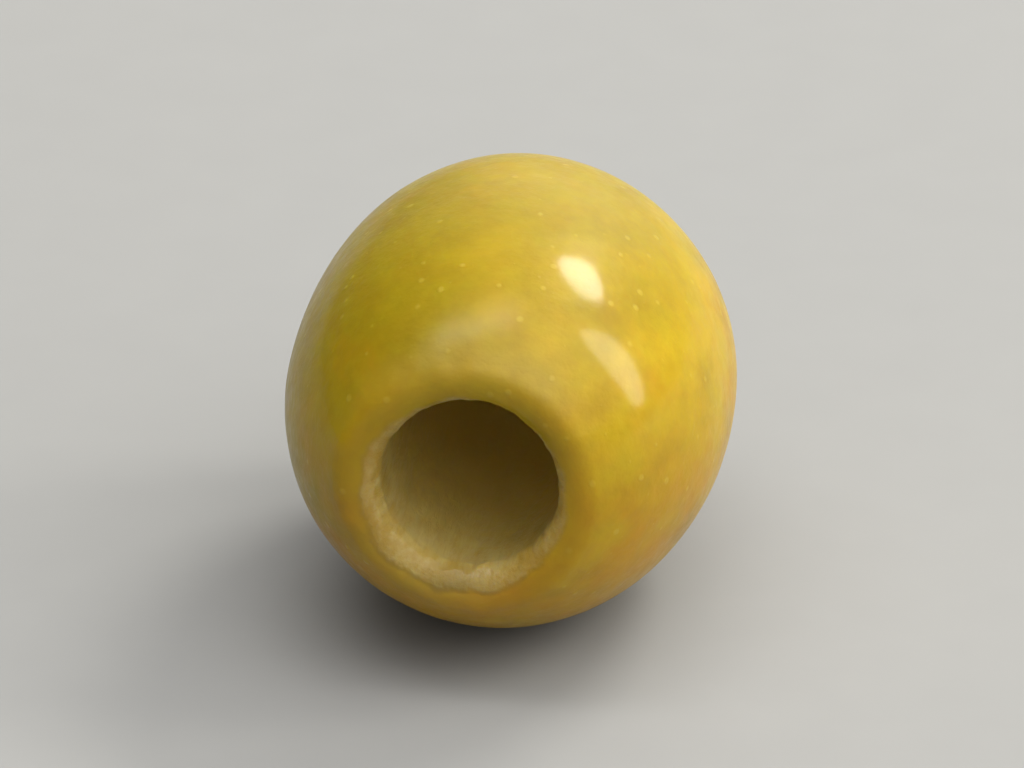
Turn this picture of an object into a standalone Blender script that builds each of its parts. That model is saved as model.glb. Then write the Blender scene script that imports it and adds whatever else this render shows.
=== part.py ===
"""A pitted green table olive, as one body of flesh and skin.

One end has the round hole that the stone was punched out through, with the hollow that the stone left
behind it. The other end is pressed in to a shallow dimple, where a cross cut has closed again. The olive
lies on a small flat spot. Units are metres and +Z is up. The origin is the middle of the flat spot, the
long axis runs along Y, and the round hole faces -Y and slightly up.
"""

import math

import bmesh
import bpy
from mathutils import Matrix

MM = 0.001

# The uncut olive: a full egg shape, widest a little behind its middle and narrower towards the hole.
# Places along the axis are measured from the middle of its length, positive towards the hole.
DIAMETER = 17.2 * MM
WIDEST_AT = -0.5 * MM
HOLE_END_HALF = 12.4 * MM  # from the widest place to the tip that the hole takes away
BACK_END_HALF = 10.9 * MM  # from the widest place to the back tip, before it is pressed in
FULLNESS = 2.2  # 2 is a true ellipse, and more is fuller in the shoulders

# The round hole, its rounded lip and the hollow left by the stone
MOUTH_DIAMETER = 6.9 * MM
LIP_ROUND = 1.0 * MM
HOLLOW_DIAMETER = 7.7 * MM
HOLLOW_WIDEST_AT = 0.5 * MM
HOLLOW_END_AT = -8.5 * MM
HOLLOW_FULLNESS = 2.4

# The dimple at the back and the two crossing cuts in it
DIMPLE_DEPTH = 1.5 * MM
DIMPLE_SPREAD = 2.2 * MM
CUT_LENGTH = 7.4 * MM
CUT_WIDTH = 0.7 * MM
CUT_DEPTH = 0.75 * MM  # below the bottom of the dimple
CUT_TURNS_DEG = (38.0, 130.0)

# Uneven growth: the share of the radius that each wave adds, how often it goes round,
# how far it turns along the length, and where it starts
UNEVEN_WAVES = (
    (0.009, 2, 0.0, 0.5),
    (0.006, 3, 1.5, 2.0),
    (0.006, 1, 3.0, -1.0),
)
BEND = 0.15 * MM  # how far the middle stands to one side of the ends

# How it lies
RAISED_DEG = 4.0  # how far the hole end lies above level
SPOT_DEPTH = 0.2 * MM  # how much of the round underside the flat spot takes away

STEPS_ROUND = 64
SKIN_STEPS = 26
LIP_STEPS = 7
NECK_STEPS = 7
HOLLOW_STEPS = 10
WELD = 0.001 * MM

OLIVE_COLOUR = (0.42, 0.32, 0.035, 1.0)
OLIVE_ROUGHNESS = 0.3


def clear_scene():
    for old in list(bpy.data.objects):
        bpy.data.objects.remove(old, do_unlink=True)


def new_collection(name):
    collection = bpy.data.collections.new(name)
    bpy.context.scene.collection.children.link(collection)
    return collection


def olive_material():
    material = bpy.data.materials.new("olive_flesh")
    material.use_nodes = True
    shader = material.node_tree.nodes["Principled BSDF"]
    shader.inputs["Base Color"].default_value = OLIVE_COLOUR
    shader.inputs["Roughness"].default_value = OLIVE_ROUGHNESS
    shader.inputs["Metallic"].default_value = 0.0
    return material


def skin_point(turn):
    """Radius and place along the axis of the uncut skin: turn is 0 at the hole tip and pi at the back tip."""
    towards_hole = math.cos(turn)
    half = HOLE_END_HALF if towards_hole > 0.0 else BACK_END_HALF
    reach = half * abs(towards_hole) ** (2.0 / FULLNESS)
    return DIAMETER / 2 * math.sin(turn), WIDEST_AT + math.copysign(reach, towards_hole)


def skin_normal(turn):
    """The direction that the skin faces there, as radius and axis parts."""
    small = 1e-5
    r0, a0 = skin_point(turn - small)
    r1, a1 = skin_point(turn + small)
    length = math.hypot(r1 - r0, a1 - a0)
    return (a0 - a1) / length, (r1 - r0) / length


def lip_place():
    """Where the lip's round touches the skin, and the middle of that round."""
    middle_radius = MOUTH_DIAMETER / 2 + LIP_ROUND
    low, high = 0.05, math.pi / 2
    for _ in range(50):
        turn = (low + high) / 2
        if skin_point(turn)[0] - LIP_ROUND * skin_normal(turn)[0] < middle_radius:
            low = turn
        else:
            high = turn
    return turn, middle_radius, skin_point(turn)[1] - LIP_ROUND * skin_normal(turn)[1]


def dimple(radius, along):
    """How far the skin at the back is pressed in towards the middle."""
    return DIMPLE_DEPTH * math.exp(-((radius / DIMPLE_SPREAD) ** 2)) if along < 0.0 else 0.0


def profile():
    """The half section from the end of the hollow, out over the lip and down the skin to the back tip."""
    touch, lip_radius, lip_along = lip_place()
    points = []
    for i in range(HOLLOW_STEPS):
        turn = math.pi / 2 * i / HOLLOW_STEPS
        reach = (HOLLOW_WIDEST_AT - HOLLOW_END_AT) * math.cos(turn) ** (2.0 / HOLLOW_FULLNESS)
        points.append((HOLLOW_DIAMETER / 2 * math.sin(turn), HOLLOW_WIDEST_AT - reach))
    for i in range(NECK_STEPS):
        share = i / NECK_STEPS
        narrowing = (1.0 - math.cos(math.pi * share)) / 2
        radius = HOLLOW_DIAMETER / 2 + (MOUTH_DIAMETER - HOLLOW_DIAMETER) / 2 * narrowing
        points.append((radius, HOLLOW_WIDEST_AT + (lip_along - HOLLOW_WIDEST_AT) * share))
    normal = skin_normal(touch)
    last = math.atan2(normal[1], normal[0])
    for i in range(LIP_STEPS):
        angle = math.pi + (last - math.pi) * i / LIP_STEPS
        points.append(
            (lip_radius + LIP_ROUND * math.cos(angle), lip_along + LIP_ROUND * math.sin(angle))
        )
    for i in range(SKIN_STEPS + 1):
        radius, along = skin_point(touch + (math.pi - touch) * i / SKIN_STEPS)
        points.append((radius, along + dimple(radius, along)))
    points[-1] = (0.0, points[-1][1])
    return points


def turned_body(collection):
    """The profile turned once round the Z axis, as a plain mesh."""
    outline = bpy.data.meshes.new("olive_profile")
    points = profile()
    outline.from_pydata(
        [(radius, 0.0, along) for radius, along in points],
        [(i, i + 1) for i in range(len(points) - 1)],
        [],
    )
    turned = bpy.data.objects.new("olive_profile", outline)
    collection.objects.link(turned)
    screw = turned.modifiers.new("turn", "SCREW")
    screw.axis = "Z"
    screw.steps = screw.render_steps = STEPS_ROUND
    screw.use_merge_vertices = True
    screw.merge_threshold = WELD
    mesh = bpy.data.meshes.new_from_object(
        turned.evaluated_get(bpy.context.evaluated_depsgraph_get())
    )
    bpy.data.objects.remove(turned, do_unlink=True)
    return mesh


def grow_unevenly(mesh):
    """No olive is truly round: each point moves out or in by waves, and the axis bends a little."""
    half_length = (HOLE_END_HALF + BACK_END_HALF) / 2
    for vertex in mesh.vertices:
        share = vertex.co.z / half_length
        around = math.atan2(vertex.co.y, vertex.co.x)
        growth = 1.0 + sum(
            size * math.cos(times * around + turn * share + start)
            for size, times, turn, start in UNEVEN_WAVES
        )
        vertex.co.x = vertex.co.x * growth + BEND * (0.5 - share**2)
        vertex.co.y = vertex.co.y * growth


def lay_down(mesh):
    """Lays the olive on its side with the middle of its flat spot at the origin."""
    mesh.transform(Matrix.Rotation(math.radians(90.0 - RAISED_DEG), 4, "X"))
    floor = min(vertex.co.z for vertex in mesh.vertices) + SPOT_DEPTH
    low = [vertex.co for vertex in mesh.vertices if vertex.co.z < floor]
    middle_x = (min(p.x for p in low) + max(p.x for p in low)) / 2
    middle_y = (min(p.y for p in low) + max(p.y for p in low)) / 2
    shift = Matrix.Translation((-middle_x, -middle_y, -floor))
    mesh.transform(shift)
    return shift


def cutter(collection, name, mesh):
    piece = bpy.data.objects.new(name, mesh)
    collection.objects.link(piece)
    piece.hide_render = True
    piece.display_type = "WIRE"
    return piece


def floor_cutter(collection):
    """A block whose top is the surface that the olive lies on."""
    side = 2 * DIAMETER
    bm = bmesh.new()
    bmesh.ops.create_cube(bm, size=side)
    bmesh.ops.translate(bm, verts=bm.verts, vec=(0.0, 0.0, -side / 2))
    mesh = bpy.data.meshes.new("floor_cutter")
    bm.to_mesh(mesh)
    bm.free()
    return cutter(collection, "floor_cutter", mesh)


def cut_cutter(collection, name, turn_deg, shift):
    """A thin lens along one of the two cuts, wide in the middle of the dimple and closing at both ends."""
    bm = bmesh.new()
    bmesh.ops.create_uvsphere(bm, u_segments=24, v_segments=16, radius=1.0)
    depth = DIMPLE_DEPTH + CUT_DEPTH
    size = Matrix.Diagonal((CUT_LENGTH / 2, CUT_WIDTH / 2, depth, 1.0))
    turn = Matrix.Rotation(math.radians(turn_deg), 4, "Z")
    place = Matrix.Translation((-BEND / 2, 0.0, WIDEST_AT - BACK_END_HALF))
    lay = Matrix.Rotation(math.radians(90.0 - RAISED_DEG), 4, "X")
    bmesh.ops.transform(bm, verts=bm.verts, matrix=shift @ lay @ place @ turn @ size)
    mesh = bpy.data.meshes.new(name)
    bm.to_mesh(mesh)
    bm.free()
    return cutter(collection, name, mesh)


def cut_away(piece, tool):
    modifier = piece.modifiers.new(tool.name, "BOOLEAN")
    modifier.operation = "DIFFERENCE"
    modifier.solver = "EXACT"
    modifier.object = tool


def main():
    clear_scene()
    parts = new_collection("green_olive")
    cutters = new_collection("cutters")
    mesh = turned_body(parts)
    mesh.name = "olive"
    grow_unevenly(mesh)
    shift = lay_down(mesh)
    mesh.shade_smooth()
    mesh.materials.append(olive_material())
    olive = bpy.data.objects.new("olive", mesh)
    parts.objects.link(olive)
    cut_away(olive, floor_cutter(cutters))
    for number, turn_deg in enumerate(CUT_TURNS_DEG, 1):
        cut_away(olive, cut_cutter(cutters, f"cross_cutter_{number}", turn_deg, shift))


main()
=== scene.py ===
"""The look of a pitted green table olive, lying alone on a pale floor.

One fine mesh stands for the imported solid. It has the same form, worked out from the same real sizes, and
adds what is too fine for the solid: the skin's waves and dents, the puckers round the hole, the torn
flesh in it, and the lips of the cross cut at the back. Sizes are metres, except where a name ends in _MM.
"""

import math

import bpy
import numpy as np
from mathutils import Matrix, Vector, noise


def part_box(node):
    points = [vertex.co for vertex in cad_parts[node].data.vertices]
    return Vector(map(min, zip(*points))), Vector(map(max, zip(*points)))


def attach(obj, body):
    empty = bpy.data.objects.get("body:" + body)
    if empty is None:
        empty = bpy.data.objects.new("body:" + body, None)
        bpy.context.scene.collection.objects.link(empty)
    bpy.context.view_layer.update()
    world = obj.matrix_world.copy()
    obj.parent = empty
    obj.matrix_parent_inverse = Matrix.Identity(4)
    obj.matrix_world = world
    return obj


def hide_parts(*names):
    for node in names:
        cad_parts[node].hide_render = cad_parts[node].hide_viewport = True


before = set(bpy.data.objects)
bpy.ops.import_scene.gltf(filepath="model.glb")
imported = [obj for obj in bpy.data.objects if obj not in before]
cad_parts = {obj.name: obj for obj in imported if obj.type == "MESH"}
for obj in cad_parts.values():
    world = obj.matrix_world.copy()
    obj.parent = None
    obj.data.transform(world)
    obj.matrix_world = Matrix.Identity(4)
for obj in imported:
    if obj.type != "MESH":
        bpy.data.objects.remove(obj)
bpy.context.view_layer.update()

MM = 0.001
SEED = 11

# The olive's real sizes, as in the part's source. Places along the axis are measured from its middle,
# positive towards the round hole.
DIAMETER = 17.2 * MM
WIDEST_AT = -0.5 * MM
HOLE_END_HALF = 12.4 * MM
BACK_END_HALF = 10.9 * MM
FULLNESS = 2.2
MOUTH_DIAMETER = 6.9 * MM
LIP_ROUND = 1.0 * MM
HOLLOW_DIAMETER = 7.7 * MM
HOLLOW_WIDEST_AT = 0.5 * MM
HOLLOW_END_AT = -8.5 * MM
HOLLOW_FULLNESS = 2.4
DIMPLE_DEPTH = 1.5 * MM
DIMPLE_SPREAD = 2.2 * MM
# Uneven growth: the share of the radius that each wave adds, how often it goes round, how far it turns
# along the length, and where it starts
UNEVEN_WAVES = (
    (0.009, 2, 0.0, 0.5),
    (0.006, 3, 1.5, 2.0),
    (0.006, 1, 3.0, -1.0),
)
BEND = 0.15 * MM  # how far the middle stands to one side of the ends
RAISED_DEG = 4.0  # how far the hole end lies above level

# How finely the mesh follows the form. Rows on the skin lie closer towards the back tip, by this share.
COLUMNS = 288
SKIN_ROWS = 176
LIP_ROWS = 36
NECK_ROWS = 56
HOLLOW_ROWS = 60
CLOSER_AT_BACK = 0.6
ROWS_AT_AXIS = 30  # at each end, the rows in which points near the axis face as its end does
TURNS_BY_MM = 0.6  # how far from the axis a point has its own facing again
PATTERN_STEP = 17.3  # how far apart the places are that two noise patterns are taken from

# In what follows, a pair named FROM is where something begins and where it is full. Places past the lip
# are measured along the surface from its crest: positive on the skin, negative in the hole.

# The skin's waves and dents
SKIN_FROM_MM = (-0.2, 0.5)  # past the lip
SKIN_WAVES_MM = ((7.0, 0.09), (3.2, 0.03), (1.3, 0.007))  # size across and height of each
DENTS = 9
ROWS_WITHOUT_DENTS = 20  # at the back tip
DENT_SPREAD_MM = (0.9, 2.0)
DENT_DEPTH_MM = (0.02, 0.06)

# The lip: its uneven height, the puckers on its skin side and the tears on its inner side
LIP_UNEVEN_MM = 0.11
LIP_WAVES = ((0.5, 2, 1.1), (0.4, 3, 4.0), (0.3, 5, 2.2), (0.18, 8, 0.3))  # share, times round, start
LIP_SPREAD_MM = 1.3
PUCKER_MM = 0.04
PUCKER_WAVES = ((13, 0.7), (19, 2.9), (29, 5.1))  # times round, start
PUCKER_FROM_MM = (0.0, 0.7)  # past the lip
PUCKER_REACH_MM = 1.3
TEAR_MM = 0.05
TEAR_SIZES_MM = (0.55, 0.28)
FINER_TEARS = 0.6  # their height as a share of the coarser ones'
TEARS_AT_MM = -1.2  # past the lip
TEAR_SPREAD_MM = 0.7

# The hollow: fibres along its neck and furrows further in
FIBRE_MM = 0.05
FIBRES = ((0.9, 4.0, 1.0), (0.4, 2.5, 0.5))  # size across in mm, times longer than wide, share of height
FIBRES_FROM_MM = (0.3, 1.4)  # down the hole
FIBRES_FADE = 0.5  # how much of them is lost where the furrows are
FURROW_MM = 0.16
FURROW_ACROSS_MM = 1.7
FURROW_STRETCH = 2.2
FURROW_LEVEL = 0.35  # the height of the pattern that lies on the smooth form
FURROWS_FROM_MM = (7.0, 11.0)  # down the hole

# The torn edge of the flesh: how far past the lip it lies on average, and how much more on its worn side
# at the hole's lower left
TORN_BACK_MM = (-0.3, 0.42)
WORN_TURN_DEG = 245.0
WORN_SPREAD_DEG = 50.0
INSIDE_LIMIT_MM = 3.0  # further from the torn edge than this makes no difference
RIM_SPREAD_MM = 1.2
RIM_BEGINS_MM = -2.0  # past the lip
BROWNED_SPREAD_MM = 0.9
TOP_TURN_DEG = 90.0  # the side of the lip that is browned least, and where a painted highlight lies just outside its crest
SPARED_SPREAD_DEG = 60.0
SPARED_SHARE = 0.85
# A painted highlight on the lip's crest at the top, where light catches it: its strength, where it lies
# past the lip, and how far it spreads along and round
PAINTED_HIGHLIGHT_SHARE = 0.7
PAINTED_HIGHLIGHT_AT_MM = 0.9  # past the lip
PAINTED_HIGHLIGHT_SPREAD_MM = 0.9
PAINTED_HIGHLIGHT_SPREAD_DEG = 45.0
# A painted shade on the torn flesh of the lower lip, where its slope turns away from the light: the turn it
# lies at, and how far it spreads round and along
PAINTED_SHADE_TURN_DEG = 266.0
PAINTED_SHADE_SPREAD_DEG = 17.0
PAINTED_SHADE_SPREAD_MM = 1.2

# The cross cut at the back. Each half of the two cuts: which way it runs in degrees, how far it reaches and
# how far it bows sideways in millimetres
HALF_CUTS = ((38.0, 3.6, 0.22), (130.0, 3.1, -0.18), (218.0, 3.0, 0.16), (310.0, 3.5, 0.24))
HALF_CUT_FROM = (-0.14, -0.03)  # from the crossing, as shares of its reach
CUT_DEPTH_MM = 0.85
CUT_SPREAD_MM = 0.12
CUT_END_SPREAD = 0.45  # the share of that spread where a cut ends
CUT_WANDERS_MM = 0.07
CUT_WANDERS_FROM_MM = (0.0, 0.9)  # from the crossing
WANDER_SIZES_MM = (1.1, 0.4)
FINER_WANDER = 0.4  # as a share of the coarser
CUT_FLESH_FROM = (0.1, 0.6)  # how far into the groove, as shares of its depth
CUT_FLESH_MM = (-1.0, 2.0)  # how far inside the torn edge the cut's sides and its middle count as
CUT_LIP_MM = 0.09
CUT_LIP_AWAY_MM = 0.33  # from the middle of the cut
CUT_LIP_SPREAD_MM = 0.2
CUT_LIP_UNEVEN = 0.7
CUT_LIP_UNEVEN_ACROSS_MM = 1.4
FLAPS_SINK_MM = (0.26, 0.02, 0.20, -0.06)  # the flap after each of those half cuts, in the same order
FLAP_FLATNESS = 0.7  # lower is flatter
FLAP_MIDDLE_MM = 1.5  # from the crossing
FLAP_SPREAD_MM = 1.2
LIPS_AND_FLAPS_FROM_MM = (0.1, 0.9)  # from the crossing

SPOT_SOFTNESS = 0.02 * MM  # of the flat spot's edge

# The camera and the picture
VIEW_AZIMUTH_DEG = 9.5
VIEW_ELEVATION_DEG = 27.0
VIEW_DISTANCE = 0.5
SHARE_OF_WIDTH = 0.43  # how much of the picture's width the olive takes
SENSOR_WIDTH_MM = 36.0

# The light: a smooth dome, and two soft lights that give the gloss its marks
LIGHT_DISTANCE = 0.5
WARM = (1.0, 0.96, 0.84)
DOME_COLOUR = (1.0, 0.975, 0.91, 1.0)
DOME_LEAST = 0.04
# Each broad glow of the dome: where its middle is, how bright that is, and how fast it falls off
DOME_GLOWS = (
    ((0.47, -0.24, 0.83), 3.15, 4.0),
    ((0.10, -0.85, 0.50), 0.6, 3.0),
    ((0.12, 0.88, 0.45), 1.6, 8.0),
    ((-0.42, -0.06, 0.90), 4.2, 70.0),
    ((-0.21, 0.00, 0.98), 4.6, 70.0),
    ((0.02, 0.10, 0.99), 4.6, 70.0),
)
# Each soft light: the direction it lies in, the direction its length runs in, how many degrees long and
# wide it looks from the olive, and how bright it is
SOFT_LIGHTS = {
    "key": ((0.406, 0.589, 0.699), (0.291, -0.163, -0.023), (23, 13), 25.0),
    "side_window": ((0.860, 0.226, 0.458), (0.254, -0.028, -0.482), (44, 13), 10.5),
}


def skin_point(turn):
    """Radius and place along the axis of the uncut skin: turn is 0 at the hole tip and pi at the back."""
    towards_hole = math.cos(turn)
    half = HOLE_END_HALF if towards_hole > 0.0 else BACK_END_HALF
    reach = half * abs(towards_hole) ** (2.0 / FULLNESS)
    return DIAMETER / 2 * math.sin(turn), WIDEST_AT + math.copysign(reach, towards_hole)


def skin_normal(turn):
    """The direction that the skin faces there, as radius and axis parts."""
    small = 1e-5
    r0, a0 = skin_point(turn - small)
    r1, a1 = skin_point(turn + small)
    length = math.hypot(r1 - r0, a1 - a0)
    return (a0 - a1) / length, (r1 - r0) / length


def lip_place():
    """Where the lip's round touches the skin, and the middle of that round."""
    middle_radius = MOUTH_DIAMETER / 2 + LIP_ROUND
    low, high = 0.05, math.pi / 2
    for _ in range(50):
        turn = (low + high) / 2
        if skin_point(turn)[0] - LIP_ROUND * skin_normal(turn)[0] < middle_radius:
            low = turn
        else:
            high = turn
    return turn, middle_radius, skin_point(turn)[1] - LIP_ROUND * skin_normal(turn)[1]


def profile():
    """Radius and place along the axis, from the end of the hollow out over the lip to the back tip."""
    touch, lip_radius, lip_along = lip_place()
    rows = []
    for i in range(HOLLOW_ROWS):
        turn = math.pi / 2 * i / HOLLOW_ROWS
        reach = (HOLLOW_WIDEST_AT - HOLLOW_END_AT) * math.cos(turn) ** (2.0 / HOLLOW_FULLNESS)
        rows.append((HOLLOW_DIAMETER / 2 * math.sin(turn), HOLLOW_WIDEST_AT - reach))
    for i in range(NECK_ROWS):
        share = i / NECK_ROWS
        narrowing = (1.0 - math.cos(math.pi * share)) / 2
        radius = HOLLOW_DIAMETER / 2 + (MOUTH_DIAMETER - HOLLOW_DIAMETER) / 2 * narrowing
        rows.append((radius, HOLLOW_WIDEST_AT + (lip_along - HOLLOW_WIDEST_AT) * share))
    normal = skin_normal(touch)
    last = math.atan2(normal[1], normal[0])
    for i in range(LIP_ROWS):
        angle = math.pi + (last - math.pi) * i / LIP_ROWS
        rows.append((lip_radius + LIP_ROUND * math.cos(angle), lip_along + LIP_ROUND * math.sin(angle)))
    for i in range(SKIN_ROWS + 1):
        share = i / SKIN_ROWS
        share += CLOSER_AT_BACK * math.sin(math.pi * share) / math.pi
        radius, along = skin_point(touch + (math.pi - touch) * share)
        pressed = DIMPLE_DEPTH * math.exp(-((radius / DIMPLE_SPREAD) ** 2)) if along < 0.0 else 0.0
        rows.append((radius, along + pressed))
    return np.array(rows)


def eased(low, high, value):
    """0 below low and 1 above high, with a smooth step between."""
    share = np.clip((value - low) / (high - low), 0.0, 1.0)
    return share * share * (3.0 - 2.0 * share)


def bell(value, spread):
    """1 at 0, falling off smoothly on both sides."""
    return np.exp(-((value / spread) ** 2))


class Form:
    """The olive as a grid of points, rows along the profile by columns round the axis."""

    def __init__(self):
        rows = profile()
        shape = (len(rows), COLUMNS)
        self.radius = np.broadcast_to(rows[:, :1], shape)
        self.along = np.broadcast_to(rows[:, 1:], shape)
        self.turn = np.broadcast_to(2 * math.pi * np.arange(COLUMNS) / COLUMNS, shape)
        self.radius_mm = self.radius / MM
        steps = np.hypot(*np.diff(rows, axis=0).T)
        length = np.concatenate([[0.0], np.cumsum(steps)])
        crest = int(np.argmax(rows[:, 1]))
        self.past_lip_mm = np.broadcast_to((length - length[crest])[:, None] / MM, shape)
        self.points = self.grown()

    def grown(self):
        """The points with the uneven growth that the solid has."""
        share = self.along / ((HOLE_END_HALF + BACK_END_HALF) / 2)
        growth = 1.0 + sum(
            size * np.cos(times * self.turn + turn * share + start)
            for size, times, turn, start in UNEVEN_WAVES
        )
        x = self.radius * np.cos(self.turn) * growth + BEND * (0.5 - share**2)
        y = self.radius * np.sin(self.turn) * growth
        return np.stack([x, y, self.along], axis=-1)

    def normals(self):
        """The direction that the surface faces at each point, away from the flesh."""
        down = np.gradient(self.points, axis=0)
        wrapped = np.concatenate([self.points[:, -1:], self.points, self.points[:, :1]], axis=1)
        across = (wrapped[:, 2:] - wrapped[:, :-2]) / 2
        facing = np.cross(down, across)
        size = np.linalg.norm(facing, axis=-1, keepdims=True)
        facing = facing / np.maximum(size, 1e-15)
        # Near the axis the columns come together, so all points there face as the axis end does.
        for beside, rows in ((1, slice(0, ROWS_AT_AXIS)), (-2, slice(-ROWS_AT_AXIS, None))):
            end = facing[beside].mean(axis=0)
            own = eased(0.0, TURNS_BY_MM, self.radius_mm[rows])[..., None]
            facing[rows] = end + (facing[rows] - end) * own
        return facing

    def noise(self, size_mm, pattern, along_stretch=1.0):
        """Smooth noise of about -1 to 1 at each point, with features about that size across. Each number
        of a pattern gives another one."""
        places = self.points.reshape(-1, 3) / (size_mm * MM)
        places = places / np.array((1.0, 1.0, along_stretch)) + PATTERN_STEP * (pattern + SEED)
        return np.array([noise.noise(Vector(p)) for p in places]).reshape(self.radius.shape)

    def degrees_from(self, turn_deg):
        """How far round the axis each point is from that turn, from 0 to 180 degrees."""
        return np.degrees(np.arccos(np.cos(self.turn - math.radians(turn_deg))))

    def raise_by(self, height_mm):
        """Moves each point out by its height, the way that it faces."""
        self.points = self.points + self.normals() * height_mm[..., None] * MM


def skin_relief(form):
    """Waves and shallow dents of the skin."""
    height = sum(
        size * form.noise(across, pattern=number)
        for number, (across, size) in enumerate(SKIN_WAVES_MM, start=1)
    )
    random = np.random.default_rng(SEED)
    rows = form.points.shape[0]
    for _ in range(DENTS):
        row = random.integers(rows // 2, rows - ROWS_WITHOUT_DENTS)
        middle = form.points[row, random.integers(COLUMNS)]
        spread = random.uniform(*DENT_SPREAD_MM)
        depth = random.uniform(*DENT_DEPTH_MM)
        away = np.linalg.norm(form.points - middle, axis=-1) / MM
        height = height - depth * bell(away, spread)
    return height * eased(*SKIN_FROM_MM, form.past_lip_mm)


def lip_relief(form):
    """The lip's uneven height, the puckers of skin round it and the small tears in its inner edge."""
    uneven = sum(share * np.cos(times * form.turn + start) for share, times, start in LIP_WAVES)
    near = bell(form.past_lip_mm, LIP_SPREAD_MM)
    folds = sum(np.cos(times * form.turn + start) for times, start in PUCKER_WAVES) / len(PUCKER_WAVES)
    fade = np.exp(-np.maximum(form.past_lip_mm, 0.0) / PUCKER_REACH_MM)
    puckers = folds * eased(*PUCKER_FROM_MM, form.past_lip_mm) * fade
    inside = bell(form.past_lip_mm - TEARS_AT_MM, TEAR_SPREAD_MM)
    coarser, finer = TEAR_SIZES_MM
    torn = form.noise(coarser, pattern=21) + FINER_TEARS * form.noise(finer, pattern=22)
    return LIP_UNEVEN_MM * uneven * near + PUCKER_MM * puckers + TEAR_MM * torn * inside


def hollow_relief(form):
    """Fibres drawn along the punched neck, and the furrows that the stone left further in."""
    inside = eased(*FIBRES_FROM_MM, -form.past_lip_mm)
    deep = eased(*FURROWS_FROM_MM, -form.past_lip_mm)
    fibres = sum(
        share * form.noise(across, pattern=number, along_stretch=stretch)
        for number, (across, stretch, share) in enumerate(FIBRES, start=31)
    )
    furrows = form.noise(FURROW_ACROSS_MM, pattern=33, along_stretch=FURROW_STRETCH)
    furrows = np.abs(furrows) - FURROW_LEVEL
    return inside * (FIBRE_MM * fibres * (1.0 - FIBRES_FADE * deep) + FURROW_MM * furrows * deep)


def cuts(form):
    """How far into a cut each point of the back is, and how near a cut's lips."""
    on_back = (form.along < 0.0) & (form.past_lip_mm > 0.0)
    coarser, finer = WANDER_SIZES_MM
    wander = form.noise(coarser, pattern=51) + FINER_WANDER * form.noise(finer, pattern=52)
    wander = wander * eased(*CUT_WANDERS_FROM_MM, form.radius_mm)
    groove = np.zeros_like(form.radius)
    lips = np.zeros_like(form.radius)
    for turn_deg, reach_mm, bow_mm in HALF_CUTS:
        angle = form.turn - math.radians(turn_deg)
        share = form.radius_mm * np.cos(angle) / reach_mm
        side_mm = form.radius_mm * np.sin(angle) - bow_mm * np.sin(math.pi * np.clip(share, 0.0, 1.0))
        off_mm = np.abs(side_mm + CUT_WANDERS_MM * wander)
        left = np.sqrt(np.clip(1.0 - share**2, 0.0, 1.0)) * eased(*HALF_CUT_FROM, share)
        spread_mm = CUT_SPREAD_MM * (CUT_END_SPREAD + (1.0 - CUT_END_SPREAD) * left)
        groove = np.maximum(groove, left * bell(off_mm, spread_mm))
        lips = np.maximum(lips, left * bell(off_mm - CUT_LIP_AWAY_MM, CUT_LIP_SPREAD_MM))
    return groove * on_back, lips * on_back


def flaps_sink(form):
    """How far each of the four flaps between the half cuts has sunk, in millimetres."""
    sunk = np.zeros_like(form.radius)
    turn_deg = np.degrees(form.turn)
    for number, depth in enumerate(FLAPS_SINK_MM):
        first = HALF_CUTS[number][0]
        across = (HALF_CUTS[(number + 1) % len(HALF_CUTS)][0] - first) % 360.0
        share = ((turn_deg - first) % 360.0) / across
        sunk += depth * np.sin(math.pi * np.clip(share, 0.0, 1.0)) ** FLAP_FLATNESS
    return sunk * bell(form.radius_mm - FLAP_MIDDLE_MM, FLAP_SPREAD_MM) * (form.along < 0.0)


def back_relief(form):
    """The grooves of the cross cut, their pouting lips and the sunk flaps between them."""
    groove, lips = cuts(form)
    uneven = 1.0 + CUT_LIP_UNEVEN * form.noise(CUT_LIP_UNEVEN_ACROSS_MM, pattern=53)
    pout = CUT_LIP_MM * lips * (1.0 - groove) * uneven
    away_from_tip = eased(*LIPS_AND_FLAPS_FROM_MM, form.radius_mm)
    return (pout - flaps_sink(form)) * away_from_tip - CUT_DEPTH_MM * groove


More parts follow.
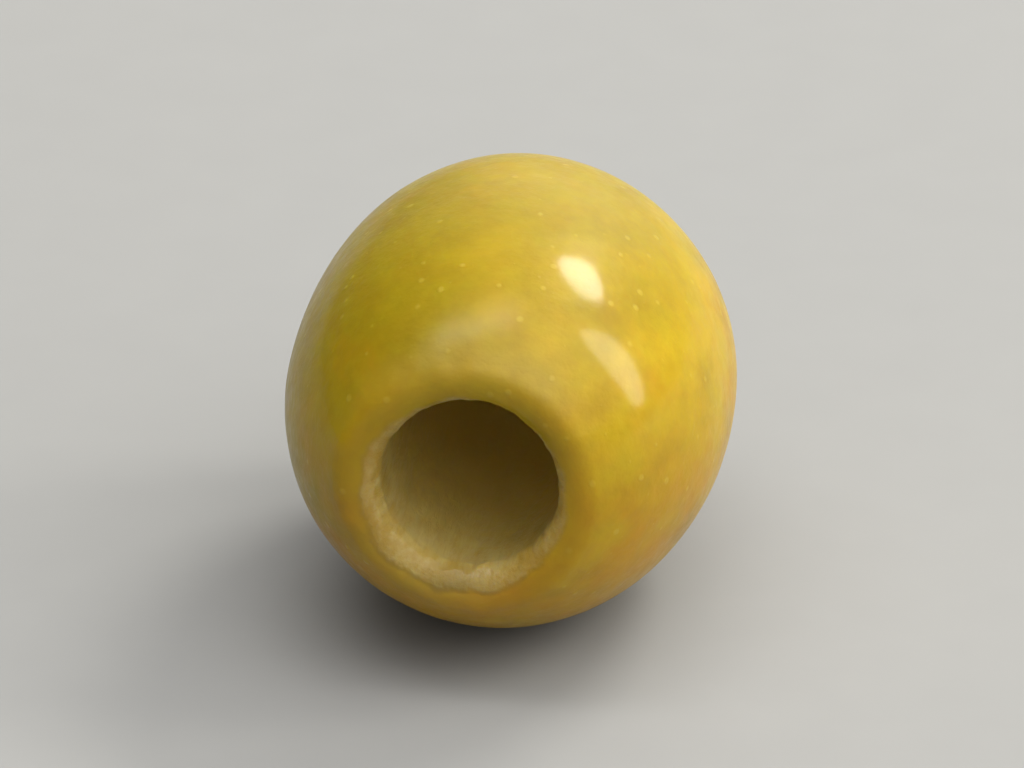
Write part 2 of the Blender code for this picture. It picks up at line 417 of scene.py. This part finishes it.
def marks(form):
    """What the colours need at each point: how far inside the torn edge and how deep in the hole it is, in
    millimetres, and how much of the pale rim with its painted highlight, the browned edge and the
    painted shade on the lower lip is there."""
    groove, lips = cuts(form)
    average, more = TORN_BACK_MM
    torn_back = average + more * np.cos(form.turn - math.radians(WORN_TURN_DEG))
    inside_mm = np.clip(torn_back - form.past_lip_mm, -INSIDE_LIMIT_MM, INSIDE_LIMIT_MM)
    beside_mm, middle_mm = CUT_FLESH_MM
    in_cut_mm = beside_mm + (middle_mm - beside_mm) * eased(*CUT_FLESH_FROM, groove)
    worn = bell(form.degrees_from(WORN_TURN_DEG), WORN_SPREAD_DEG)
    rim = bell(np.maximum(form.past_lip_mm, 0.0), RIM_SPREAD_MM) * (form.past_lip_mm > RIM_BEGINS_MM)
    # a painted highlight just outside the lip's crest on its top side
    painted_highlight = PAINTED_HIGHLIGHT_SHARE * bell(form.past_lip_mm - PAINTED_HIGHLIGHT_AT_MM, PAINTED_HIGHLIGHT_SPREAD_MM)
    painted_highlight = painted_highlight * bell(form.degrees_from(TOP_TURN_DEG), PAINTED_HIGHLIGHT_SPREAD_DEG)
    spared = SPARED_SHARE * bell(form.degrees_from(TOP_TURN_DEG), SPARED_SPREAD_DEG)
    # painted shade on the lower lip, strongest at the bottom of the hole
    painted_shade = bell(form.degrees_from(PAINTED_SHADE_TURN_DEG), PAINTED_SHADE_SPREAD_DEG)
    return {
        "inside_mm": np.maximum(inside_mm, in_cut_mm),
        "deep_mm": np.maximum(-form.past_lip_mm, 0.0),
        # the pale rim on the lip's worn side, the painted highlight on its top, and the pale lips of the
        # back cuts
        "rim": np.maximum(np.maximum(rim * worn, painted_highlight), lips),
        "browned": bell(form.past_lip_mm, BROWNED_SPREAD_MM) * (1.0 - worn) * (1.0 - spared),
        "painted_shade": bell(form.past_lip_mm, PAINTED_SHADE_SPREAD_MM) * painted_shade,
    }


def laid_down(points):
    """Points about the upright axis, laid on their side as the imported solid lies."""
    lay = np.array(Matrix.Rotation(math.radians(90.0 - RAISED_DEG), 3, "X"))
    return points @ lay.T


def placed_as_solid(smooth):
    """The move that brings the smooth form, already laid down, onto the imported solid."""
    low, high = (np.array(corner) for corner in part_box("olive"))
    own_low, own_high = smooth.min(axis=(0, 1)), smooth.max(axis=(0, 1))
    move = (low + high - own_low - own_high) / 2
    move[2] = high[2] - own_high[2]
    return move


def flattened(points):
    """The underside made flat where it meets the floor, with a slightly soft edge."""
    z = points[..., 2]
    points = points.copy()
    points[..., 2] = (z + np.sqrt(z * z + SPOT_SOFTNESS**2)) / 2
    return points


def grid_faces(rows):
    """Quads between the grid's rows, and a fan at each end to a single point there."""
    first_pole, last_pole = rows * COLUMNS, rows * COLUMNS + 1
    faces = []
    for column in range(COLUMNS):
        after = (column + 1) % COLUMNS
        faces.append((first_pole, column, after))
        faces.append((last_pole, (rows - 1) * COLUMNS + after, (rows - 1) * COLUMNS + column))
        for row in range(rows - 1):
            a, b = row * COLUMNS, (row + 1) * COLUMNS
            faces.append((a + column, b + column, b + after, a + after))
    return faces


def make_olive():
    form = Form()
    move = placed_as_solid(laid_down(form.points))
    marked = marks(form)
    for relief in (skin_relief, lip_relief, hollow_relief, back_relief):
        form.raise_by(relief(form))
    points = flattened(laid_down(form.points) + move)
    # The first and last rows lie on the axis, so each becomes one point.
    body = points[1:-1]
    tips = np.array([points[0].mean(axis=0), points[-1].mean(axis=0)])
    mesh = bpy.data.meshes.new("olive_flesh_and_skin")
    mesh.from_pydata(np.concatenate([body.reshape(-1, 3), tips]).tolist(), [], grid_faces(len(body)))
    for name, values in marked.items():
        at_tips = [values[0].mean(), values[-1].mean()]
        attribute = mesh.attributes.new(name, "FLOAT", "POINT")
        attribute.data.foreach_set("value", np.concatenate([values[1:-1].ravel(), at_tips]))
    mesh.shade_smooth()
    mesh.validate()
    olive = bpy.data.objects.new("olive_flesh_and_skin", mesh)
    bpy.context.scene.collection.objects.link(olive)
    return olive


class Nodes:
    """A short way to write the nodes of a material or of the world."""

    def __init__(self, owner):
        owner.use_nodes = True
        self.tree = owner.node_tree
        self.tree.nodes.clear()

    def add(self, kind, inputs=(), **settings):
        node = self.tree.nodes.new(kind)
        for key, value in settings.items():
            setattr(node, key, value)
        for key, value in dict(inputs).items():
            if isinstance(value, bpy.types.NodeSocket):
                self.tree.links.new(value, node.inputs[key])
            else:
                node.inputs[key].default_value = value
        return node

    def attribute(self, name):
        return self.add("ShaderNodeAttribute", attribute_name=name).outputs["Fac"]

    def math(self, operation, a, b):
        return self.add("ShaderNodeMath", {0: a, 1: b}, operation=operation).outputs[0]

    def total(self, *weighted, start=0.0):
        """The sum of some values, each times its weight, and of the start."""
        result = start
        for value, weight in weighted:
            inputs = {0: value, 1: weight, 2: result}
            result = self.add("ShaderNodeMath", inputs, operation="MULTIPLY_ADD").outputs[0]
        return result

    def along(self, places, direction):
        """How far each place lies in that direction."""
        return self.add(
            "ShaderNodeVectorMath", {0: places, 1: direction}, operation="DOT_PRODUCT"
        ).outputs["Value"]

    def between(self, value, low, high, to_low=0.0, to_high=1.0):
        """value eased from low..high to to_low..to_high."""
        return self.add(
            "ShaderNodeMapRange",
            {"Value": value, "From Min": low, "From Max": high, "To Min": to_low, "To Max": to_high},
            interpolation_type="SMOOTHSTEP",
        ).outputs["Result"]

    def mix(self, share, a, b):
        """Two colours mixed. They are the node's inputs 6 and 7, and their mix is its output 2."""
        return self.add("ShaderNodeMix", {"Factor": share, 6: a, 7: b}, data_type="RGBA").outputs[2]

    def mix_values(self, share, a, b):
        """Two plain values mixed. They are the node's inputs 2 and 3, and their mix is its output 0."""
        return self.add("ShaderNodeMix", {"Factor": share, 2: a, 3: b}, data_type="FLOAT").outputs[0]

    def tint(self, colour, mark, share, other):
        """The colour, with up to that share of the other one where the mark says so."""
        return self.mix(self.math("MULTIPLY", mark, share), colour, other)

    def noise(self, places, size_mm, detail=3.0, roughness=0.5, distortion=0.0, output="Fac"):
        """Noise of 0 to 1 over places given in metres, with features about that size across."""
        return self.add(
            "ShaderNodeTexNoise",
            {
                "Vector": places,
                "Scale": 1.0 / (size_mm * MM),
                "Detail": detail,
                "Roughness": roughness,
                "Distortion": distortion,
            },
        ).outputs[output]

    def spots(self, places, cell_mm, channel, chance, size, softness):
        """Round spots, one to a cell at most. Chance is the range of the cell's own colour in that channel
        over which a spot grows to its full size; size and softness are shares of the cell."""
        cells = self.add("ShaderNodeTexVoronoi", {"Vector": places, "Scale": 1.0 / (cell_mm * MM)})
        drawn = self.add("ShaderNodeSeparateColor", {"Color": cells.outputs["Color"]}).outputs[channel]
        grown = self.between(drawn, *chance, 0.0, size)
        return self.between(self.math("SUBTRACT", grown, cells.outputs["Distance"]), *softness)

    def moved(self, places, scale=(1.0, 1.0, 1.0), by_mm=(0.0, 0.0, 0.0)):
        return self.add(
            "ShaderNodeMapping",
            {"Vector": places, "Scale": scale, "Location": [part * MM for part in by_mm]},
        ).outputs["Vector"]


def srgb(red, green, blue):
    """A colour given as 0 to 255 on a screen, as the linear one that a shader takes."""
    linear = []
    for value in (red, green, blue):
        share = value / 255
        linear.append(share / 12.92 if share <= 0.04045 else ((share + 0.055) / 1.055) ** 2.4)
    return (*linear, 1.0)


# Colours of the skin
OLIVE_GREEN = srgb(144, 124, 16)
OLIVE_YELLOW = srgb(166, 139, 21)
OCHRE = srgb(166, 121, 15)
DEEP_OLIVE = srgb(121, 96, 10)
LENTICEL = srgb(183, 163, 62)
SPECK = srgb(112, 78, 14)
# Colours of the torn flesh and of the skin at its edge
# the pale rim of skin round the lip, also used for a painted highlight on the lip's top
PALE_RIM_AND_PAINTED_HIGHLIGHT = srgb(162, 138, 62)
PALE_FLESH = srgb(167, 149, 92)
TAN_FLESH = srgb(150, 124, 55)
BROWN_EDGE = srgb(138, 102, 12)
# painted shade for the flesh of the lower lip
PAINTED_SHADE_ON_FLESH = srgb(112, 94, 44)
# Colours of the hollow: pale flesh painted lighter than it is to stand in for light in its shade, and a
# still paler far end that is painted light
HOLLOW_FLESH_WITH_PAINTED_LIGHT = srgb(222, 196, 106)
END_FLESH_PAINTED_LIGHT = srgb(218, 210, 132)

# How much of a colour is mixed in where its pattern or mark is full
OCHRE_SHARE = 0.75
SHADE_SHARE = 0.45
LENTICEL_SHARE = 0.34
SPECK_SHARE = 0.6
# share of the pale rim, which also carries the painted highlight on the lip's top
PALE_RIM_AND_PAINTED_HIGHLIGHT_SHARE = 0.5
BROWN_ON_SKIN_SHARE = 0.5
BROWN_ON_FLESH_SHARE = 0.6
# share of the painted shade on the lower lip's flesh
PAINTED_SHADE_SHARE = 0.65
EDGE_SHARE = 0.9

# Where the skin turns greener and where it turns ochre: the direction, the span along it in metres, and
# what that takes from or adds to the pattern of patches
GREENER_TOWARDS = ((-0.7, 0.3, 0.65), (-3.0 * MM, 12.0 * MM), (-0.22, 0.22))
OCHRE_TOWARDS = ((0.15, -0.1, -1.0), (-14.0 * MM, 1.0 * MM), (-0.14, 0.26))

# Down the hole, for the painted light on the flesh: the span in millimetres, and the share of the colour at
# its start and end
HOLLOW_FLESH_WITH_PAINTED_LIGHT_DOWN = ((0.6, 9.0), (0.05, 0.95))
END_FLESH_PAINTED_LIGHT_DOWN = ((13.0, 20.0), (0.0, 0.8))

# The gloss: how rough the bare skin and the flesh are, under a thin wet coat
SKIN_ROUGHNESS = (0.36, 0.5)
FLESH_ROUGHNESS = 0.36
COAT_WEIGHT = 0.3
COAT_ROUGHNESS = 0.12
COAT_IOR = 1.5
BUMP_MM = 0.07


def skin_colour(nodes, places):
    """Yellow-olive skin, greener on one side and ochre low down, with soft patches and fine mottling."""
    towards, span, shares = GREENER_TOWARDS
    greener = nodes.between(nodes.along(places, towards), *span, *shares)
    patches = nodes.noise(places, size_mm=6.5, detail=2.0, distortion=0.4)
    patches = nodes.math("ADD", patches, greener)
    colour = nodes.mix(nodes.between(patches, low=0.3, high=0.72), OLIVE_YELLOW, OLIVE_GREEN)
    towards, span, shares = OCHRE_TOWARDS
    low_down = nodes.between(nodes.along(places, towards), *span, *shares)
    elsewhere = nodes.moved(places, by_mm=(31, 7, 12))
    warm = nodes.noise(elsewhere, size_mm=4.6, detail=4.0, roughness=0.6, distortion=0.3)
    warm = nodes.between(nodes.math("ADD", warm, low_down), low=0.44, high=0.78)
    colour = nodes.tint(colour, warm, OCHRE_SHARE, OCHRE)
    elsewhere = nodes.moved(places, by_mm=(-9, 3, 40))
    shade = nodes.noise(elsewhere, size_mm=2.8, detail=5.0, roughness=0.6)
    colour = nodes.tint(colour, nodes.between(shade, low=0.45, high=0.8), SHADE_SHARE, DEEP_OLIVE)
    fine = nodes.noise(places, size_mm=0.6, roughness=0.55)
    hues = nodes.noise(places, size_mm=1.3)
    return nodes.add(
        "ShaderNodeHueSaturation",
        {
            "Color": colour,
            "Value": nodes.between(fine, low=0.25, high=0.75, to_low=0.95, to_high=1.05),
            "Hue": nodes.between(hues, low=0.3, high=0.7, to_low=0.496, to_high=0.504),
        },
    ).outputs["Color"]


def lenticels_of(nodes, places):
    """Small pale dots, not all of one size, scattered over the skin."""
    return nodes.spots(
        places, cell_mm=0.8, channel="Red", chance=(0.2, 1.0), size=0.15, softness=(-0.09, 0.05)
    )


def specks_of(nodes, places):
    """A few small brown marks of uneven outline where the skin was rubbed."""
    bent = nodes.noise(places, size_mm=0.5, detail=4.0, output="Color")
    bent = nodes.add("ShaderNodeVectorMath", {0: bent, "Scale": 0.9 * MM}, operation="SCALE")
    bent = nodes.add("ShaderNodeVectorMath", {0: places, 1: bent.outputs["Vector"]}, operation="ADD")
    return nodes.spots(
        bent.outputs["Vector"],
        cell_mm=4.6,
        channel="Green",
        chance=(0.5, 1.0),
        size=0.1,
        softness=(-0.03, 0.03),
    )


def flesh_colour(nodes, places, streaks):
    """Torn flesh, streaked along the hole and blotched, with painted light paler down the hollow."""
    blotches = nodes.noise(nodes.moved(places, by_mm=(5, 60, 2)), size_mm=1.6, roughness=0.55)
    paler = nodes.total((streaks, 0.6), (blotches, 0.4))
    colour = nodes.mix(nodes.between(paler, low=0.36, high=0.64), TAN_FLESH, PALE_FLESH)
    deep = nodes.attribute("deep_mm")
    # painted light: the flesh turns paler down the hollow and at its far end, against the shade there
    for other, (down, shares) in ((HOLLOW_FLESH_WITH_PAINTED_LIGHT, HOLLOW_FLESH_WITH_PAINTED_LIGHT_DOWN), (END_FLESH_PAINTED_LIGHT, END_FLESH_PAINTED_LIGHT_DOWN)):
        colour = nodes.mix(nodes.between(deep, *down, *shares), colour, other)
    return colour


def fine_bump(nodes, places, lenticels, streaks, flesh):
    """The peel and grain of the skin, its raised lenticels, and the streaks of the torn flesh."""
    peel = nodes.noise(places, size_mm=0.42, detail=2.0)
    grain = nodes.noise(places, size_mm=0.13, roughness=0.6)
    torn = nodes.math("MULTIPLY", streaks, flesh)
    height = nodes.total((peel, 0.8), (grain, 0.2), (lenticels, 0.35), (torn, 3.2))
    bump = nodes.add("ShaderNodeBump", {"Height": height, "Strength": 0.5, "Distance": BUMP_MM * MM})
    return bump.outputs["Normal"]


def olive_material():
    material = bpy.data.materials.new("olive_flesh_and_skin")
    nodes = Nodes(material)
    places = nodes.add("ShaderNodeTexCoord").outputs["Object"]
    inside, rim, browned, painted_shade = (
        nodes.attribute(name) for name in ("inside_mm", "rim", "browned", "painted_shade")
    )
    waves = nodes.noise(places, size_mm=1.6, detail=1.0)
    frays = nodes.noise(places, size_mm=0.4, detail=2.0)
    frayed = nodes.total((waves, 0.9), (frays, 0.22), start=inside)
    flesh = nodes.between(frayed, low=0.62, high=0.98)

    skin = skin_colour(nodes, places)
    lenticels = lenticels_of(nodes, places)
    skin = nodes.tint(skin, lenticels, LENTICEL_SHARE, LENTICEL)
    skin = nodes.tint(skin, specks_of(nodes, places), SPECK_SHARE, SPECK)
    # pale rim round the lip, with a painted highlight on its top
    skin = nodes.tint(skin, rim, PALE_RIM_AND_PAINTED_HIGHLIGHT_SHARE, PALE_RIM_AND_PAINTED_HIGHLIGHT)
    skin = nodes.tint(skin, browned, BROWN_ON_SKIN_SHARE, BROWN_EDGE)

    drawn_out = nodes.moved(places, scale=(1.0, 0.16, 1.0))
    streaks = nodes.noise(drawn_out, size_mm=0.34, detail=5.0, roughness=0.62)
    inner = flesh_colour(nodes, places, streaks)
    inner = nodes.tint(inner, browned, BROWN_ON_FLESH_SHARE, BROWN_EDGE)
    # painted shade darkens the torn flesh at the bottom of the lip
    inner = nodes.tint(inner, painted_shade, PAINTED_SHADE_SHARE, PAINTED_SHADE_ON_FLESH)

    edge = nodes.math("MULTIPLY", flesh, nodes.math("SUBTRACT", 1.0, flesh))
    colour = nodes.tint(nodes.mix(flesh, skin, inner), edge, EDGE_SHARE, DEEP_OLIVE)

    uneven = nodes.noise(places, size_mm=0.9, detail=4.0, roughness=0.6)
    low, high = SKIN_ROUGHNESS
    rough = nodes.between(uneven, low=0.3, high=0.7, to_low=low, to_high=high)
    shader = nodes.add(
        "ShaderNodeBsdfPrincipled",
        {
            "Base Color": colour,
            "Roughness": nodes.mix_values(flesh, rough, FLESH_ROUGHNESS),
            "Normal": fine_bump(nodes, places, lenticels, streaks, flesh),
            "IOR": 1.33,
            "Specular IOR Level": 0.2,
            "Specular Tint": (1.0, 0.92, 0.7, 1.0),
            "Subsurface Weight": 0.6,
            "Subsurface Radius": (1.0, 0.58, 0.1),
            "Subsurface Scale": 1.7 * MM,
            "Coat Weight": COAT_WEIGHT,
            "Coat Roughness": COAT_ROUGHNESS,
            "Coat IOR": COAT_IOR,
        },
    )
    nodes.add("ShaderNodeOutputMaterial", {"Surface": shader.outputs["BSDF"]})
    return material


FLOOR_COLOURS = (srgb(136, 137, 139), srgb(139, 140, 142))
FLOOR_REACH = 3.0


def floor_material():
    material = bpy.data.materials.new("pale_floor")
    nodes = Nodes(material)
    places = nodes.add("ShaderNodeTexCoord").outputs["Object"]
    colour = nodes.mix(nodes.noise(places, size_mm=3.0), *FLOOR_COLOURS)
    shader = nodes.add(
        "ShaderNodeBsdfPrincipled", {"Base Color": colour, "Roughness": 0.6, "Specular IOR Level": 0.25}
    )
    nodes.add("ShaderNodeOutputMaterial", {"Surface": shader.outputs["BSDF"]})
    return material


def make_floor():
    reach = FLOOR_REACH
    mesh = bpy.data.meshes.new("floor")
    corners = [(-reach, -reach, 0.0), (reach, -reach, 0.0), (reach, reach, 0.0), (-reach, reach, 0.0)]
    mesh.from_pydata(corners, [], [(0, 1, 2, 3)])
    mesh.materials.append(floor_material())
    floor = bpy.data.objects.new("floor", mesh)
    bpy.context.scene.collection.objects.link(floor)


def olive_middle():
    low, high = (Vector(corner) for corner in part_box("olive"))
    return (low + high) / 2


def make_camera():
    middle = olive_middle()
    azimuth, elevation = math.radians(VIEW_AZIMUTH_DEG), math.radians(VIEW_ELEVATION_DEG)
    towards = Vector(
        (
            math.sin(azimuth) * math.cos(elevation),
            -math.cos(azimuth) * math.cos(elevation),
            math.sin(elevation),
        )
    )
    data = bpy.data.cameras.new("camera")
    data.sensor_width = SENSOR_WIDTH_MM
    data.lens = SENSOR_WIDTH_MM * VIEW_DISTANCE * SHARE_OF_WIDTH / DIAMETER
    data.clip_start = 0.01
    camera = bpy.data.objects.new("camera", data)
    camera.location = middle + towards * VIEW_DISTANCE
    camera.rotation_euler = towards.to_track_quat("Z", "Y").to_euler()
    bpy.context.scene.collection.objects.link(camera)
    bpy.context.scene.camera = camera


def soft_light(name, direction, along, across_deg, radiance):
    """An oval light facing the olive, given by how long and wide it looks from there."""
    length, width = (2 * LIGHT_DISTANCE * math.tan(math.radians(part) / 2) for part in across_deg)
    data = bpy.data.lights.new(name, "AREA")
    data.shape = "ELLIPSE"
    data.size, data.size_y = length, width
    # The light's power is pi times its brightness times its area, which is that of an oval.
    data.energy = radiance * math.pi * (math.pi / 4 * length * width)
    data.color = WARM
    light = bpy.data.objects.new(name, data)
    z = Vector(direction).normalized()
    y = z.cross(Vector(along)).normalized()
    light.matrix_world = Matrix.Translation(olive_middle() + z * LIGHT_DISTANCE) @ Matrix(
        (y.cross(z), y, z)
    ).transposed().to_4x4()
    bpy.context.scene.collection.objects.link(light)


def make_dome():
    """A studio dome, nearly dark but for a few broad glows that fall off smoothly."""
    world = bpy.data.worlds.new("studio")
    nodes = Nodes(world)
    outward = nodes.add("ShaderNodeTexCoord").outputs["Generated"]
    strength = DOME_LEAST
    for towards, peak, falloff in DOME_GLOWS:
        facing = nodes.along(outward, Vector(towards).normalized())
        glow = nodes.math("POWER", nodes.math("MAXIMUM", facing, 0.0), falloff)
        strength = nodes.total((glow, peak), start=strength)
    background = nodes.add("ShaderNodeBackground", {"Color": DOME_COLOUR, "Strength": strength})
    nodes.add("ShaderNodeOutputWorld", {"Surface": background.outputs["Background"]})
    bpy.context.scene.world = world


def make_lights():
    make_dome()
    for name, (direction, along, across_deg, radiance) in SOFT_LIGHTS.items():
        soft_light(name, direction, along, across_deg, radiance)
    bpy.context.scene.view_settings.view_transform = "Standard"


olive = make_olive()
olive.data.materials.append(olive_material())
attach(olive, "root")
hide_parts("olive")
make_floor()
make_camera()
make_lights()
